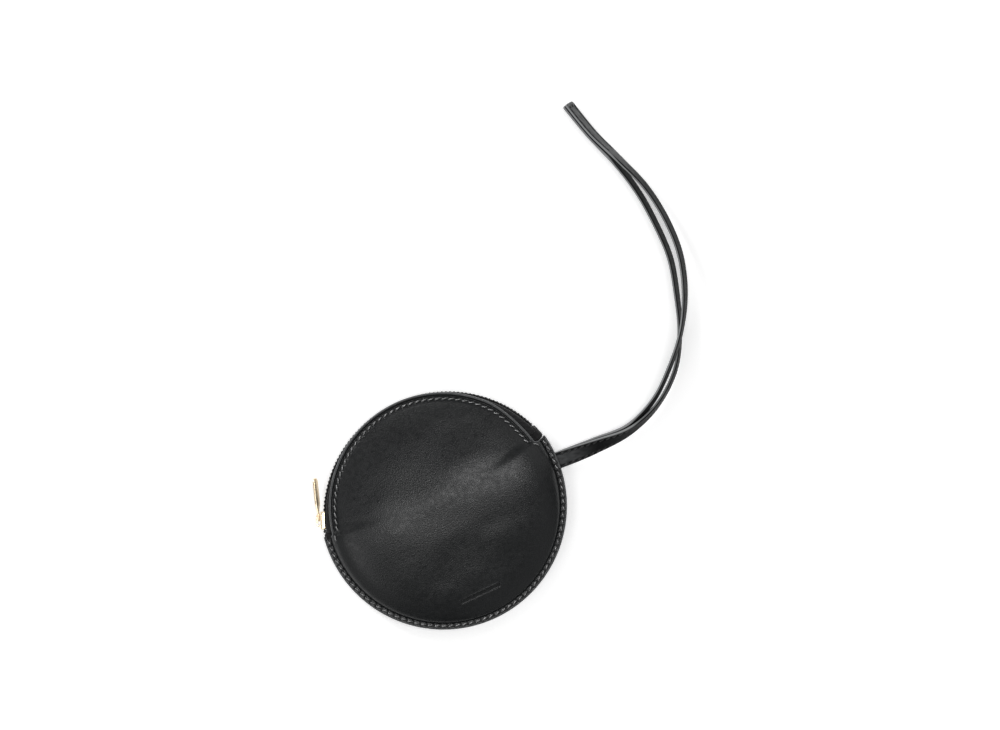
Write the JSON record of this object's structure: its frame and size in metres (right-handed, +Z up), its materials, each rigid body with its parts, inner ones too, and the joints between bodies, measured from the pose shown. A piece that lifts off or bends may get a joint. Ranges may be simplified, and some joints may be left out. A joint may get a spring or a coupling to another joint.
{
  "type": "coin purse",
  "caption": "Flat round leather zip coin purse with a sewn flange, a curved zip mouth, a metal puller and a long wrist strap.",
  "frame": {"origin": "on the table under the centre of the sewn edge's circle, the purse lying on its back panel", "axes": "+X towards the wrist strap, +Y towards the middle of the zip mouth, +Z up out of the front panel"},
  "size_m": [0.2186, 0.2122, 0.0174],
  "materials": {
    "leather": "smooth satin calf, very fine grain",
    "strap_leather": "smooth satin calf with painted edges",
    "lining": "fine plain weave",
    "zip_tape": "ribbed woven tape",
    "zip_coil": "satin nylon coil",
    "gold_metal": "polished light gold plate",
    "thread": "glossy waxed thread"
  },
  "bodies": {
    "purse": {"back_panel": "leather", "front_panel": "leather", "back_lining": "lining", "front_lining": "lining", "back_zip_tape": "zip_tape", "front_zip_tape": "zip_tape", "back_zip_coil": "zip_coil", "front_zip_coil": "zip_coil", "zip_end_left": "zip_tape", "zip_end_right": "zip_tape", "top_stop_front": "zip_coil", "top_stop_back": "zip_coil", "bottom_stop": "zip_coil", "seam_thread": "thread", "back_zip_thread": "thread", "front_zip_thread": "thread", "strap_strip_outer": "strap_leather", "strap_strip_inner": "strap_leather", "strap_root_thread": "thread", "strap_tip_thread": "thread"},
    "mouth": {"front_panel_mouth": "leather", "front_lining_mouth": "lining", "front_zip_tape_mouth": "zip_tape", "front_zip_coil_mouth": "zip_coil", "front_zip_thread_mouth": "thread"},
    "slider": {"slider_body": "gold_metal", "slider_bail": "gold_metal"},
    "puller": {"puller": "gold_metal"}
  },
  "joints": [
    {"name": "mouth_open", "type": "hinge", "parent": "purse", "child": "mouth", "pos_m": [0, 0.026, 0.0062], "axis": [1, 0, 0], "range_deg": [0, 25]},
    {"name": "slider_run", "type": "hinge", "parent": "purse", "child": "slider", "pos_m": [0, -0.0054, 0.0062], "axis": [0, 0, 1], "range_deg": [-129.5, 0]},
    {"name": "puller_swing", "type": "hinge", "parent": "slider", "child": "puller", "pos_m": [-0.05767, 0.01908, 0.0062], "axis": [0, 0, 1], "range_deg": [0, 170]}
  ]
}
